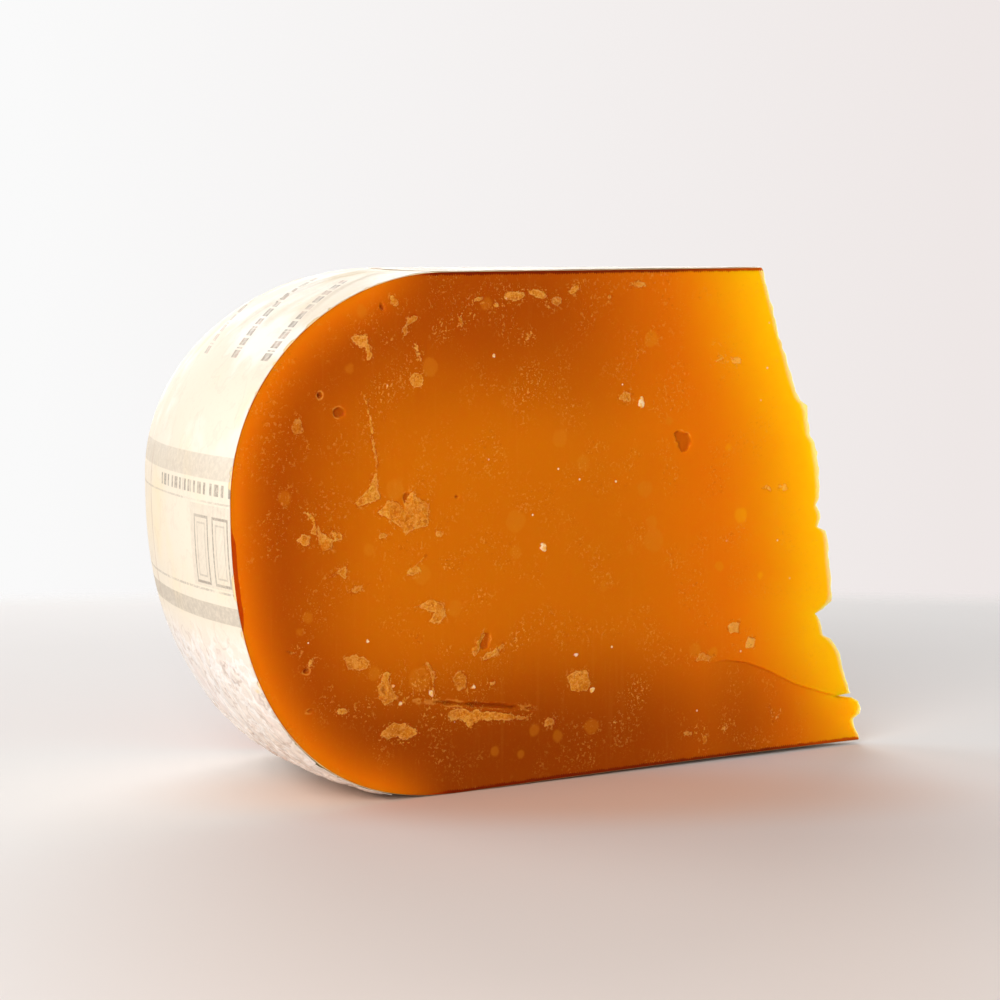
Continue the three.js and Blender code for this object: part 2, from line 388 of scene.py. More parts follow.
# Smaller torn flakes: u, z, half width, half height, turn in degrees, how far it stands out
FRONT_FLAKES = (
    (150.8, 85.8, 1.5, 1.6, 0, 0.20), (108.2, 108.6, 0.7, 1.5, 20, 0.20), (93.4, 113.7, 2.6, 1.0, 6, 0.15),
    (86.0, 114.2, 2.9, 0.8, -14, 0.15), (81.6, 112.4, 2.1, 1.3, 0, 0.12), (76.2, 115.1, 1.3, 0.9, 20, 0.20),
    (58.6, 116.0, 2.2, 0.7, 0, 0.15), (66.5, 113.2, 0.9, 0.6, 0, 0.10), (103.2, 113.4, 1.4, 0.5, 15, 0.12),
    (98.0, 111.8, 0.9, 0.5, 0, 0.12), (89.6, 104.0, 0.8, 0.7, 0, 0.25), (83.0, 14.4, 1.5, 1.1, 0, 0.20),
    (34.2, 97.6, 1.2, 0.5, 15, 0.15), (28.8, 97.4, 1.6, 0.9, 5, 0.12), (147.6, 33.6, 1.3, 0.6, 30, 0.15),
    (113.8, 60.4, 1.3, 0.8, 0, 0.15), (135.6, 49.0, 1.7, 0.7, 10, 0.10), (139.6, 21.6, 1.6, 0.7, 0, 0.12),
    (99.6, 24.6, 0.9, 0.6, 30, 0.20), (64.6, 12.4, 0.6, 0.5, 0, 0.15), (37.6, 5.4, 0.7, 1.1, 0, 0.15),
    (43.0, 7.6, 1.4, 0.7, 0, 0.10), (31.8, 8.0, 1.2, 0.6, 0, 0.10), (125.4, 113.0, 0.9, 1.4, 40, 0.10),
)
# Pale crystal lumps: u, z, half width, half height, turn, how far it stands out
FRONT_CRYSTALS = (
    (85.2, 55.2, 1.0, 1.3, 15, 0.25), (57.2, 88.2, 1.1, 1.2, 0, 0.25), (70.9, 20.7, 0.8, 0.7, 30, 0.15),
    (104.6, 24.2, 0.7, 0.5, 0, 0.15), (126.2, 26.4, 0.45, 0.45, 0, 0.12), (116.2, 23.8, 0.7, 1.0, 20, 0.15),
    (124.2, 22.2, 0.7, 0.5, 20, 0.12), (99.0, 100.4, 0.4, 0.4, 0, 0.10), (127.4, 94.4, 0.5, 0.4, 20, 0.10),
    (133.0, 37.0, 0.45, 0.4, 0, 0.10), (75.8, 29.4, 0.6, 0.4, 20, 0.12),
)
# Round pale spots just under the surface: u, z, radius
FRONT_SPOTS = (
    (92.9, 61.9, 2.7), (92.9, 54.9, 1.9), (80.6, 80.8, 2.2), (73.9, 74.6, 1.9), (54.2, 103.0, 2.1),
    (56.0, 67.4, 2.3), (53.2, 55.2, 2.9), (53.8, 59.6, 1.9), (40.9, 27.8, 1.8), (71.2, 12.0, 2.0),
    (27.2, 59.8, 2.0), (154.2, 70.5, 1.6), (137.4, 98.6, 1.4), (116.2, 98.2, 2.2), (125.6, 71.0, 2.4),
    (101.0, 112.4, 1.6), (81.0, 10.6, 1.5), (60.2, 53.6, 1.0), (31.0, 76.4, 1.2), (132.6, 57.6, 1.6),
    (109.6, 43.0, 1.9), (118.6, 51.2, 2.4), (119.4, 27.2, 2.9), (148.4, 43.6, 1.5), (150.4, 40.6, 1.1),
    (75.0, 23.2, 2.6), (87.5, 12.6, 1.4), (49.0, 83.6, 1.2), (35.5, 26.5, 1.6), (98.6, 8.6, 1.4),
    (91.2, 7.4, 1.0),
    (131.2, 29.6, 1.6), (33.6, 47.6, 1.4), (21.0, 44.6, 1.0), (68.0, 45.0, 1.3), (134.2, 111.2, 1.6),
)
# Small open eyes and pits: u, z, half width, half height, turn, depth
FRONT_PITS = (
    (44.7, 78.3, 2.6, 2.2, 0, 0.55), (144.9, 92.9, 0.8, 0.8, 0, 0.9), (140.0, 88.9, 1.3, 1.1, 0, 0.7),
    (129.0, 112.2, 0.6, 1.1, 20, 0.8), (109.0, 68.4, 0.5, 0.4, 0, 0.8), (153.2, 36.2, 1.6, 0.4, -25, 0.7),
    (148.9, 31.6, 0.8, 0.6, 10, 0.7), (101.4, 19.7, 13.2, 0.6, -8, 1.0), (101.6, 34.0, 1.7, 1.9, 0, 0.5),
    (147.8, 22.6, 0.9, 0.4, 10, 0.5), (122.4, 68.9, 1.1, 1.4, 0, 0.5), (128.4, 25.6, 0.9, 1.1, 0, 0.5),
)
# Sandy patches of fine crystals: u, z, radius
FRONT_SAND = (
    (129.5, 94.0, 4.2), (113.0, 106.5, 4.6), (88.5, 94.5, 6.5), (127.5, 105.0, 2.6), (94.0, 114.2, 4.5),
    (83.5, 112.8, 4.5), (105.5, 109.5, 3.6), (133.8, 21.9, 4.0), (115.5, 18.3, 5.5), (111.9, 53.2, 3.4),
    (102.3, 45.4, 3.2), (120.1, 37.1, 3.0), (126.2, 63.1, 2.4), (112.8, 33.6, 3.4), (151.1, 36.4, 2.6),
    (57.3, 19.8, 5.0), (39.1, 8.0, 3.2), (104.3, 21.3, 4.5), (92.0, 34.4, 4.0), (118.0, 26.0, 5.0),
    (89.0, 104.6, 3.0),
)
# The curved edge of the layer that broke away low on the tip, as u, z
BROKEN_EDGE = (
    (38, 24.4), (31.4, 24.8), (24.8, 23.6), (19.3, 21.7), (15.7, 20), (9.4, 17),
    (1.1, 14.3), (-4, 12.8), (-9, 12.4),
)


def polygon_field(points, shapes):
    """Millimetres inside the nearest of some flat shapes, and how far that one stands out."""
    mm = points / MM
    best = np.full(len(mm), -9.0)
    amount = np.zeros(len(mm))
    for lift, corners in shapes:
        corners = np.array(corners, float)
        low, high = corners.min(0) - 2, corners.max(0) + 2
        near = np.flatnonzero(((mm > low) & (mm < high)).all(1))
        inside = inside_polygon(mm[near], corners)
        nearest = np.full(len(near), 99.0)
        for start, end in zip(corners, np.roll(corners, -1, axis=0)):
            side = end - start
            share = np.clip((mm[near] - start) @ side / (side @ side), 0, 1)[:, None]
            nearest = np.minimum(nearest, np.hypot(*(mm[near] - start - share * side).T))
        field = np.where(inside, nearest, -nearest)
        won = field > best[near]
        best[near[won]] = field[won]
        amount[near[won]] = lift
    return best, amount


def ellipse_field(points, spots, seed):
    """Millimetres inside the nearest of some ragged ellipses, and which lift or depth it has."""
    mm = points / MM
    best = np.full(len(mm), -9.0)
    amount = np.zeros(len(mm))
    wobble = rough_noise(points, 2.6 * MM, seed, 4)
    for u, z, wide, tall, turn, lift in spots:
        near = np.flatnonzero(np.hypot(mm[:, 0] - u, mm[:, 1] - z) < 2.2 * max(wide, tall) + 1)
        across, up = (mm[near] - (u, z)).T
        c, s = math.cos(math.radians(turn)), math.sin(math.radians(turn))
        reach = np.hypot((across * c - up * s) / wide, (across * s + up * c) / tall)
        small = min(wide, tall)
        field = (1 - reach) * small + wobble[near] * 0.55 * small
        won = field > best[near]
        best[near[won]] = field[won]
        amount[near[won]] = lift
    return best, amount


class CutFeatures:
    """What a cut face shows: its flakes, crystals, spots, pits, sandy patches and broken layer."""

    def __init__(self, shapes, flakes, crystals, spots, pits, sand, broken_edge=None):
        self.shapes, self.flakes, self.crystals = shapes, flakes, crystals
        self.spots, self.pits, self.sand, self.broken_edge = spots, pits, sand, broken_edge

    def fine_zones(self):
        """Circles that need a finer mesh, as u, z and radius in millimetres."""
        lumps = self.flakes + self.crystals + self.pits
        zones = [(u, z, 1.2 * max(w, h) + 0.7) for u, z, w, h, _, _ in lumps]
        for _, corners in self.shapes:
            middle = np.mean(corners, axis=0)
            zones.append((*middle, max(math.dist(middle, corner) for corner in corners) + 0.6))
        return zones


def random_shape(rng, u, z, size):
    """A jagged flat shape round a point."""
    count = rng.integers(6, 10)
    turns = np.sort(rng.uniform(0, 2 * math.pi, count))
    reach = size * rng.uniform(0.45, 1.25, count)
    squash = rng.uniform(0.45, 0.9)
    return tuple((u + r * math.cos(t), z + squash * r * math.sin(t)) for r, t in zip(reach, turns))


def random_features(seed, wheel):
    """Features for the cut that faces away, strewn by chance and denser towards the rim."""
    rng = np.random.default_rng(seed)
    radius, height = wheel.s.radius / MM, wheel.s.height / MM

    def place():
        return (radius - 14) * rng.random() ** 0.7, 9 + (height - 20) * rng.random()

    shapes = tuple((rng.uniform(0.15, 0.45), random_shape(rng, *place(), rng.uniform(1.4, 4.6)))
                   for _ in range(30))
    flakes = tuple((*place(), *rng.uniform(0.6, 1.6, 2), rng.uniform(-40, 40), rng.uniform(0.12, 0.3))
                   for _ in range(22))
    crystals = tuple((*place(), *rng.uniform(0.4, 1.2, 2), rng.uniform(-40, 40), 0.2) for _ in range(12))
    spots = tuple((*place(), rng.uniform(1.2, 2.8)) for _ in range(30))
    pits = tuple((*place(), *rng.uniform(0.5, 1.9, 2), rng.uniform(-40, 40), rng.uniform(0.4, 0.9))
                 for _ in range(9))
    sand = tuple((*place(), rng.uniform(2.5, 6.0)) for _ in range(18))
    return CutFeatures(shapes, flakes, crystals, spots, pits, sand)


def inside_polygon(points, polygon):
    """Which points lie inside a closed line of points."""
    inside = np.zeros(len(points), bool)
    x, y = points.T
    for (x0, y0), (x1, y1) in zip(polygon, np.roll(polygon, -1, axis=0)):
        if y0 != y1:
            crosses = (y0 > y) != (y1 > y)
            inside ^= crosses & (x < (x1 - x0) * (y - y0) / (y1 - y0) + x0)
    return inside


def hex_points(low, high, gap, rng):
    """A jittered triangular grid over a box."""
    columns = np.arange(low[0], high[0], gap)
    rows = np.arange(low[1], high[1], gap * math.sqrt(3) / 2)
    x, y = np.meshgrid(columns, rows)
    x = x + (np.arange(len(rows)) % 2 * gap / 2)[:, None]
    points = np.stack((x.ravel(), y.ravel()), -1)
    return points + rng.uniform(-0.28, 0.28, points.shape) * gap


def face_triangles(outline, features, seed, coarse, fine):
    """Triangulates a cut face. Its first points are the outline; it is finer round the features."""
    rng = np.random.default_rng(seed)
    low, high = outline.min(0), outline.max(0)
    wide = hex_points(low, high, coarse, rng)
    tight = hex_points(low, high, fine, rng)
    zones = np.array(features.fine_zones()) * MM
    for centre_u, centre_z, reach in zones:
        wide = wide[np.hypot(wide[:, 0] - centre_u, wide[:, 1] - centre_z) > reach]
    in_zone = np.zeros(len(tight), bool)
    for centre_u, centre_z, reach in zones:
        in_zone |= np.hypot(tight[:, 0] - centre_u, tight[:, 1] - centre_z) <= reach
    if features.broken_edge:
        edge = resample(np.array(features.broken_edge) * MM, fine)
        for point in edge[::3]:
            wide = wide[np.hypot(*(wide - point).T) > 1.2 * MM]
            in_zone |= np.hypot(*(tight - point).T) <= 1.2 * MM
    inner = np.concatenate((wide, tight[in_zone]))
    inner = inner[inside_polygon(inner, outline)]
    keep = np.ones(len(inner), bool)
    for point in outline:
        keep &= np.abs(inner - point).max(1) > 0.35 * MM
    points = np.concatenate((outline, inner[keep]))
    ring = list(range(len(outline)))
    made = delaunay_2d_cdt([Vector(p) for p in points], [], [ring], 1, 1e-9)
    sources = made[3]
    place = {source[0]: index for index, source in enumerate(sources) if source}
    order = [place[k] for k in ring]
    return np.array([tuple(v) for v in made[0]]), np.array(made[2]), order


def edge_distance(points, line):
    """Signed distance of points below a line that runs on in u: more than 0 is below it."""
    order = np.argsort(line[:, 0])
    return np.interp(points[:, 0], line[order, 0], line[order, 1]) - points[:, 1]


def face_relief(points, wheel, features, seed):
    """How far each point of a cut stands out, and the fields that colour it."""
    u, z = points.T
    wave = value_noise(points, 38 * MM, seed) * 0.16 + value_noise(points, 11 * MM, seed + 1) * 0.04
    grain = rough_noise(points, 1.8 * MM, seed + 2, 3) * 0.02
    stroke = value_noise(points * (1, 0.06), 0.9 * MM, seed + 3) * 0.018
    relief = wave + grain + stroke
    crumb = rough_noise(points, 1.1 * MM, seed + 5, 3)
    pit, depth = ellipse_field(points, features.pits, seed + 8)
    relief -= smooth(-0.1, 0.5, pit) * depth * (1 + 0.2 * crumb)
    small, small_lift = ellipse_field(points, features.flakes, seed + 4)
    large, large_lift = polygon_field(points, features.shapes)
    large += np.where(large > -1.5, rough_noise(points, 1.6 * MM, seed + 10, 3) * 0.35, 0)
    torn, lift = np.maximum(small, large), np.where(large > small, large_lift, small_lift)
    plates = 0.5 + 0.5 * value_noise(points * (1, 1.6), 2.2 * MM, seed + 6)
    relief += smooth(-0.2, 0.9, torn) * (lift * 0.4 * (0.25 + 0.9 * plates) + 0.10 * crumb)
    crystal, rise = ellipse_field(points, features.crystals, seed + 7)
    relief += smooth(0, 0.3, crystal) * (rise + 0.12 * crumb)
    under = np.zeros(len(points))
    if features.broken_edge:
        below = edge_distance(points, np.array(features.broken_edge) * MM) / MM
        start = smooth(40, 22, u / MM)
        under = start * smooth(0, 0.4, below)
        relief -= under * 0.8 * smooth(15, 2, below)
        relief += start * smooth(-1.5, 0, below) * smooth(0.2, 0, below) * 0.12
    spot, sand = np.full(len(points), -9.0), np.zeros(len(points))
    for centre_u, centre_z, radius in features.spots:
        spot = np.maximum(spot, radius - np.hypot(u / MM - centre_u, z / MM - centre_z))
    spot += value_noise(points, 1.5 * MM, seed + 9) * 0.35
    for centre_u, centre_z, radius in features.sand:
        sand = np.maximum(sand, smooth(radius, 0.2 * radius, np.hypot(u / MM - centre_u, z / MM - centre_z)))
    quiet = smooth(0.2 * MM, 3 * MM, wheel.thickness(u, z))
    fields = {"torn": torn, "crystal": crystal, "pit": pit, "spot": spot, "sand": sand, "under": under}
    return relief * MM * quiet, fields


def tip_distance(wheel, points):
    """Millimetres back from the crumbled tip, for points from the wheel's axis."""
    anchors = np.array(CRUMBLED_TIP[::-1])
    height = points[..., 2] / MM
    spread = np.linspace(-9, 9, 19)
    close = np.interp(height, anchors[:, 1], anchors[:, 0])
    wide = sum(np.interp(height + off, anchors[:, 1], anchors[:, 0]) for off in spread) / len(spread)
    meeting = wheel.tip(points[..., 2])
    reach = (np.hypot(meeting - points[..., 0], points[..., 1]) - meeting) / MM
    share = smooth(1, 9, reach + wide)
    return reach + close + (wide - close) * share


# ---------------------------------------------------------------- meshes

def make_object(name, points, faces, fields=None, sharp=35):
    """A mesh object from points from the wheel's axis, with named numbers stored on its points."""
    wheel = Wheel(bpy.context.scene.cheese_wheel)
    mesh = bpy.data.meshes.new(name)
    low, high = np.array(CAD_LOW) + BOX_MARGIN, np.array(CAD_HIGH) - BOX_MARGIN
    placed = np.clip(points + wheel.axis, low, high)
    mesh.from_pydata(placed.tolist(), [], [tuple(map(int, f)) for f in faces])
    mesh.update()
    work = bmesh.new()
    work.from_mesh(mesh)
    bmesh.ops.recalc_face_normals(work, faces=work.faces)
    work.to_mesh(mesh)
    work.free()
    for field, values in (fields or {}).items():
        attribute = mesh.attributes.new(field, "FLOAT", "POINT")
        attribute.data.foreach_set("value", np.asarray(values, np.float32))
    mesh.shade_smooth()
    mesh.set_sharp_from_angle(angle=math.radians(sharp))
    piece = bpy.data.objects.new(name, mesh)
    bpy.context.scene.collection.objects.link(piece)
    return piece


def hand_over(piece, node, material):
    """Gives a finished piece its material and its place in the frame."""
    piece.data.materials.append(material)
    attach(piece, "root")
    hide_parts(node)


def grid_faces(rows, columns, start=0):
    """Quads of a grid of points that is stored row by row."""
    index = start + np.arange(rows * columns).reshape(rows, columns)
    corners = (index[:-1, :-1], index[1:, :-1], index[1:, 1:], index[:-1, 1:])
    return np.stack([c.ravel() for c in corners], -1)


def closed_sheet(outer, inner):
    """Points and quads of a thin closed sheet between two grids of the same size."""
    rows, columns = outer.shape[:2]
    points = np.concatenate((outer.reshape(-1, 3), inner.reshape(-1, 3)))
    top = grid_faces(rows, columns)
    bottom = grid_faces(rows, columns, rows * columns)[:, ::-1]
    index = np.arange(rows * columns).reshape(rows, columns)
    rim = np.concatenate((index[0, :], index[1:, -1], index[-1, -2::-1], index[-2:0:-1, 0]))
    after = np.roll(rim, -1)
    wall = np.stack((rim, after, after + rows * columns, rim + rows * columns), -1)
    return points, np.concatenate((top, bottom, wall))


def section_bulge(wheel, line):
    """How far the outside follows the wheel's roundness at points u, z of its line."""
    edge = wheel.s.radius - wheel.s.lower_shoulder
    return smooth(0.5 * edge, edge, line[:, 0])[:, None, None]


def back_line(wheel, line, outside):
    """The same line on the back cut. outside says which points are on the wheel's outside."""
    u, z = line.T
    reach = wheel.back_reach(np.maximum(u, 30 * MM), z)
    flat_start = wheel.s.radius - wheel.s.lower_shoulder
    start_reach = wheel.back_reach(flat_start, z)
    share = (u + wheel.tip(z)) / (flat_start + wheel.tip(z))
    straight = share * (start_reach + wheel.tip(z)) - wheel.tip(z)
    on_side = smooth(0.7 * flat_start, flat_start, u)
    made = reach * on_side + straight * (1 - on_side)
    tip = (u + wheel.tip(z)) / math.cos(wheel.s.angle) - wheel.tip(z)
    return np.stack((np.where(outside, made, tip), z), -1)


# ---------------------------------------------------------------- materials

class Value:
    """A shader socket that Python arithmetic works on, one Math node for each step."""

    def __init__(self, shader, socket):
        self.shader, self.socket = shader, socket

    def _math(self, operation, *others):
        made = self.shader.add("ShaderNodeMath", {"operation": operation}, dict(enumerate((self, *others))))
        return Value(self.shader, made.outputs[0])

    def _swapped(self, operation, other):
        made = self.shader.add("ShaderNodeMath", {"operation": operation}, {0: other, 1: self})
        return Value(self.shader, made.outputs[0])

    def __add__(self, other):
        return self._math("ADD", other)

    def __sub__(self, other):
        return self._math("SUBTRACT", other)

    def __rsub__(self, other):
        return self._swapped("SUBTRACT", other)

    def __mul__(self, other):
        return self._math("MULTIPLY", other)

    def __truediv__(self, other):
        return self._math("DIVIDE", other)

    def __rtruediv__(self, other):
        return self._swapped("DIVIDE", other)

    def __pow__(self, other):
        return self._math("POWER", other)

    def __abs__(self):
        return self._math("ABSOLUTE")

    __radd__ = __add__
    __rmul__ = __mul__

    def at_least(self, other):
        """The larger of this and another value."""
        return self._math("MAXIMUM", other)

    def at_most(self, other):
        """The smaller of this and another value."""
        return self._math("MINIMUM", other)

    def wave(self):
        """Its sine."""
        return self._math("SINE")

    def step(self, low, high):
        """0 below low, 1 above high and an even curve between; low may be above high."""
        settings = {"interpolation_type": "SMOOTHSTEP"}
        if low < high:
            sockets = {0: self, 1: low, 2: high, 3: 0.0, 4: 1.0}
        else:
            sockets = {0: self, 1: high, 2: low, 3: 1.0, 4: 0.0}
        return Value(self.shader, self.shader.add("ShaderNodeMapRange", settings, sockets).outputs[0])


class Nodes:
    """The nodes of a material or of the world, all made by one method."""

    def __init__(self, tree):
        self.tree = tree

    def add(self, kind, settings=None, sockets=None):
        """Makes a node: its settings first, then the values or links of its sockets."""
        node = self.tree.nodes.new(kind)
        for name, value in (settings or {}).items():
            setattr(node, name, value)
        for key, value in (sockets or {}).items():
            self.feed(node.inputs[key], value)
        return node

    def feed(self, socket, value):
        """Links a socket to a value or another socket, or sets its number or colour."""
        source = value.socket if isinstance(value, Value) else value
        if isinstance(source, bpy.types.NodeSocket):
            self.tree.links.new(source, socket)
        elif hasattr(source, "__len__") and socket.type == "RGBA":
            socket.default_value = (*source, 1.0)
        else:
            socket.default_value = source

    def value(self, kind, settings=None, sockets=None, output=0):
        """A node's output as a value for arithmetic."""
        return Value(self, self.add(kind, settings, sockets).outputs[output])

    def place(self, stretch=(1, 1, 1)):
        """The point in the frame, stretched along each axis."""
        spot = self.add("ShaderNodeTexCoord").outputs["Object"]
        made = self.add("ShaderNodeVectorMath", {"operation": "MULTIPLY"}, {0: spot, 1: stretch})
        return made.outputs[0]

    def split(self, vector):
        """The three parts of a vector."""
        made = self.add("ShaderNodeSeparateXYZ", None, {0: vector})
        return [Value(self, out) for out in made.outputs]

    def field(self, name):
        """Numbers that are stored on the mesh's points."""
        return self.value("ShaderNodeAttribute", {"attribute_name": name}, None, "Fac")

    def noise(self, scale, detail=3.0, rough=0.5, vector=None):
        """Fractal noise from 0 to 1."""
        sockets = {"Vector": vector or self.place(), "Scale": scale, "Detail": detail, "Roughness": rough}
        return self.value("ShaderNodeTexNoise", None, sockets, "Fac")

    def dots(self, scale, vector=None):
        """Distance to the nearest of many scattered points, in cells."""
        return self.value("ShaderNodeTexVoronoi", {"feature": "F1"},
                          {"Vector": vector or self.place(), "Scale": scale}, "Distance")

    def blend(self, share, below, above, kind="MIX"):
        """A colour between two colours."""
        made = self.add("ShaderNodeMix", {"data_type": "RGBA", "blend_type": kind},
                        {0: share, 6: below, 7: above})
        return made.outputs[2]


class Shader(Nodes):
    """A material with one surface."""

    def __init__(self, name):
        self.material = bpy.data.materials.new(name)
        self.material.use_nodes = True
        super().__init__(self.material.node_tree)
        self.surface = self.tree.nodes["Principled BSDF"]

    def finish(self, base, rough, bumps, **plain):
        """Feeds the surface: colour, roughness, bumps as (height, strength in metres), plain numbers."""
        self.feed(self.surface.inputs["Base Color"], base)
        self.feed(self.surface.inputs["Roughness"], rough)
        normal = None
        for height, distance in bumps:
            sockets = {"Height": height, "Distance": distance, "Strength": 1.0}
            if normal is not None:
                sockets["Normal"] = normal
            normal = self.add("ShaderNodeBump", None, sockets).outputs[0]
        if normal is not None:
            self.feed(self.surface.inputs["Normal"], normal)
        for name, value in plain.items():
            self.surface.inputs[name.replace("_", " ").title().replace("Ior", "IOR")].default_value = value
        return self.material


def rind_depth(shader, wheel, x, y, z):
    """Depth below the outside of the papers, and how far out on the round side a point is."""
    s = wheel.s
    across = x - float(wheel.axis[0])
    along = y - float(wheel.axis[1])
    radius = (across * across + along * along) ** 0.5
    is_high = z.step(s.widest - 0.1 * MM, s.widest + 0.1 * MM)

    def pick(high, low):
        return low + is_high * (high - low)

    share = (radius / s.dish_radius).at_most(1.0)
    lift = (1 - share * share) * s.dish_rise
    out = (radius - pick(s.radius - s.upper_shoulder, s.radius - s.lower_shoulder)).at_least(0.0)
    up = abs(z - s.widest).at_least(0.6 * MM)
    half = pick(s.height - s.widest, s.widest + COAT_DEPTH) - (1 - is_high) * lift
    power = pick(s.upper_power, s.lower_power)
    reach = (out / pick(s.upper_shoulder, s.lower_shoulder)) ** power + (up / half) ** power
    reach = (reach.at_least(1e-6)) ** (1 / power)
    depth = (out * out + up * up) ** 0.5 * (1 / reach - 1)
    return depth / MM, out / MM, radius / MM


def paste_shade(sh, colours, depth, out, height):
    """Smooth paste: brown further out and darker towards the underside, with a painted glow of light through
    the paste under the round side and at the thin tip.
    """
    cloud = sh.noise(28, 3)
    thin = sh.field("thin") * (1 + sh.field("under") * 0.45) + (cloud - 0.5) * 3
    inner = (depth + (cloud - 0.5) * 16).step(8, 44)
    shade = sh.blend(inner, colours.brown, colours.heart)
    # Painted glow of light through the thin tip, fading with distance from the tip and sooner below the
    # broken layer
    shade = sh.blend(thin.step(72, 8) * 0.95, shade, colours.painted_glow)
    bright = (1 - thin / 34).at_least(0.0) ** 1.9
    # Darker towards the underside, less so close to the tip
    low = height.step(36, 5) * 0.76 * (1 - thin.step(108, 18) * 0.80)
    shade = sh.blend(low, shade, colours.dark)
    bright = bright.at_most(1.0) * (1 - height.step(16, 2) * 0.4)
    shade = sh.blend(bright, shade, colours.tip)
    shade = sh.blend(thin.step(1.6, 0.0) * 0.6, shade, colours.tip_fringe_glow)
    # Painted glow of light that comes in through the round side, strongest just under it
    rim_glow = (1 - (depth - 0.35).at_least(0.0) / 14).at_least(0.0) ** 2 * out.step(2, 24)
    return sh.blend(rim_glow, shade, colours.painted_glow)


def torn_flakes(sh, colours, shade, calm, plates, fray):
    """Adds the torn flakes with their pale thin edges, a painted glow close to the tip and painted shade in
    the crevices beside them; also gives where they are.
    """
    ragged = sh.field("torn") + (sh.noise(700, 4, 0.65) - 0.5) * 1.7 + (sh.noise(2200, 2) - 0.5) * 0.6
    torn = ragged.step(0.0, 0.25)
    tip_glow_share = sh.field("thin").step(46, 12)
    inside = sh.blend(plates.step(0.44, 0.64), colours.waxy, colours.torn)
    inside = sh.blend(fray.step(0.52, 0.64) * 0.50, inside, colours.edge)
    inside = sh.blend(sh.noise(1100, 3, 0.6).step(0.47, 0.37) * 0.60, inside, colours.brown)
    thin_edge = ragged.step(0.62, 0.10) * sh.noise(500, 2).step(0.36, 0.52)
    inside = sh.blend(thin_edge * 0.80, inside, colours.edge)
    # Painted glow on torn flakes close to the tip
    inside = sh.blend(tip_glow_share * 0.85, inside, colours.pale)
    firm = sh.noise(130, 2).step(0.30, 0.60) * 0.40 + 0.45
    shade = sh.blend(torn * firm * calm, shade, inside)
    # Painted shade in the crevices beside the flakes
    crevice_shade = ragged.step(-0.45, -0.12) * (1 - torn) * sh.noise(420, 2).step(0.50, 0.62)
    recess_shade = sh.blend(0.5, colours.dark, colours.red_rind)
    return sh.blend(crevice_shade * 0.35 * calm, shade, recess_shade), torn


def crystals_and_pits(sh, colours, shade, torn):
    """Adds the pale crystal lumps and the small open eyes, with painted shade inside the eyes and pits."""
    crystal = (sh.field("crystal") + (sh.noise(1300, 3) - 0.5) * 0.9).step(0.0, 0.2)
    lumps = sh.blend(sh.noise(900, 3).step(0.4, 0.62), colours.edge, colours.crystal)
    shade = sh.blend(crystal * 0.80, shade, lumps)
    pit = sh.field("pit") + (sh.noise(900, 3) - 0.5) * 0.5
    recess_shade = sh.blend(0.5, colours.dark, colours.red_rind)
    # Painted shade inside the pits and along the long gouge
    shade = sh.blend(pit.step(0.0, 0.4) * (1 - torn) * 0.50, shade, recess_shade)
    pit_rim = pit.step(-0.42, -0.15) * pit.step(0.08, -0.02) * sh.noise(330, 2).step(0.48, 0.62)
    return sh.blend(pit_rim * 0.4, shade, colours.torn)


def sandy_grains(sh, colours, shade, calm, fray):
    """Adds fine grains, dark specks and bright sparks; also gives the grains and sparks."""
    fine = sh.noise(1300, 3, 0.6)
    halo = sh.field("torn").step(-1.6, 0.2) * 0.7
    everywhere = sh.noise(95, 3).step(0.46, 0.64) * 0.5 + 0.05
    patchy = (sh.field("sand") + everywhere + halo).at_most(1.0) * calm
    sand = (fine.step(0.56, 0.66) + sh.noise(2600, 2).step(0.62, 0.70) * 0.8).at_most(1.0) * patchy
    shade = sh.blend(sand * 0.58, shade, sh.blend(fray.step(0.52, 0.66), colours.torn, colours.edge))
    speck = sh.noise(1000, 3, 0.6, sh.place((1, 1, 1.3))).step(0.60, 0.68) * patchy
    shade = sh.blend(speck * 0.45, shade, colours.brown)
    spark = sh.dots(150).step(0.050, 0.032) * sh.noise(60, 2).step(0.45, 0.55)
    return sh.blend(spark * 0.85, shade, colours.crystal), sand + spark


def rind_skin(sh, colours, shade, height, depth, out, radius):
    """Adds the dark rind along the outside, thicker on the wheel's flat sides."""
    flat = out.step(10, 2)
    patch = (abs(height - 53)).step(12, 7) * out.step(30, 50)
    nicked = (sh.noise(500, 4, 0.6) - 0.5) * 0.9
    beads = (radius * 9.7).wave() * 0.14 * flat
    width = flat * 0.55 + patch * 0.95 + 0.05 + nicked * (flat * 0.5 + 0.5) + beads
    skin = (depth - PASTE_DEPTH / MM - width).step(0.22, 0.0)
    rind = sh.blend(flat * sh.field("thin").step(4, 30), colours.red_rind, colours.rind)
    shown = (flat + patch + sh.noise(70, 2).step(0.4, 0.6) * 0.5 + 0.25).at_most(0.92)
    return sh.blend(skin * shown, shade, rind)


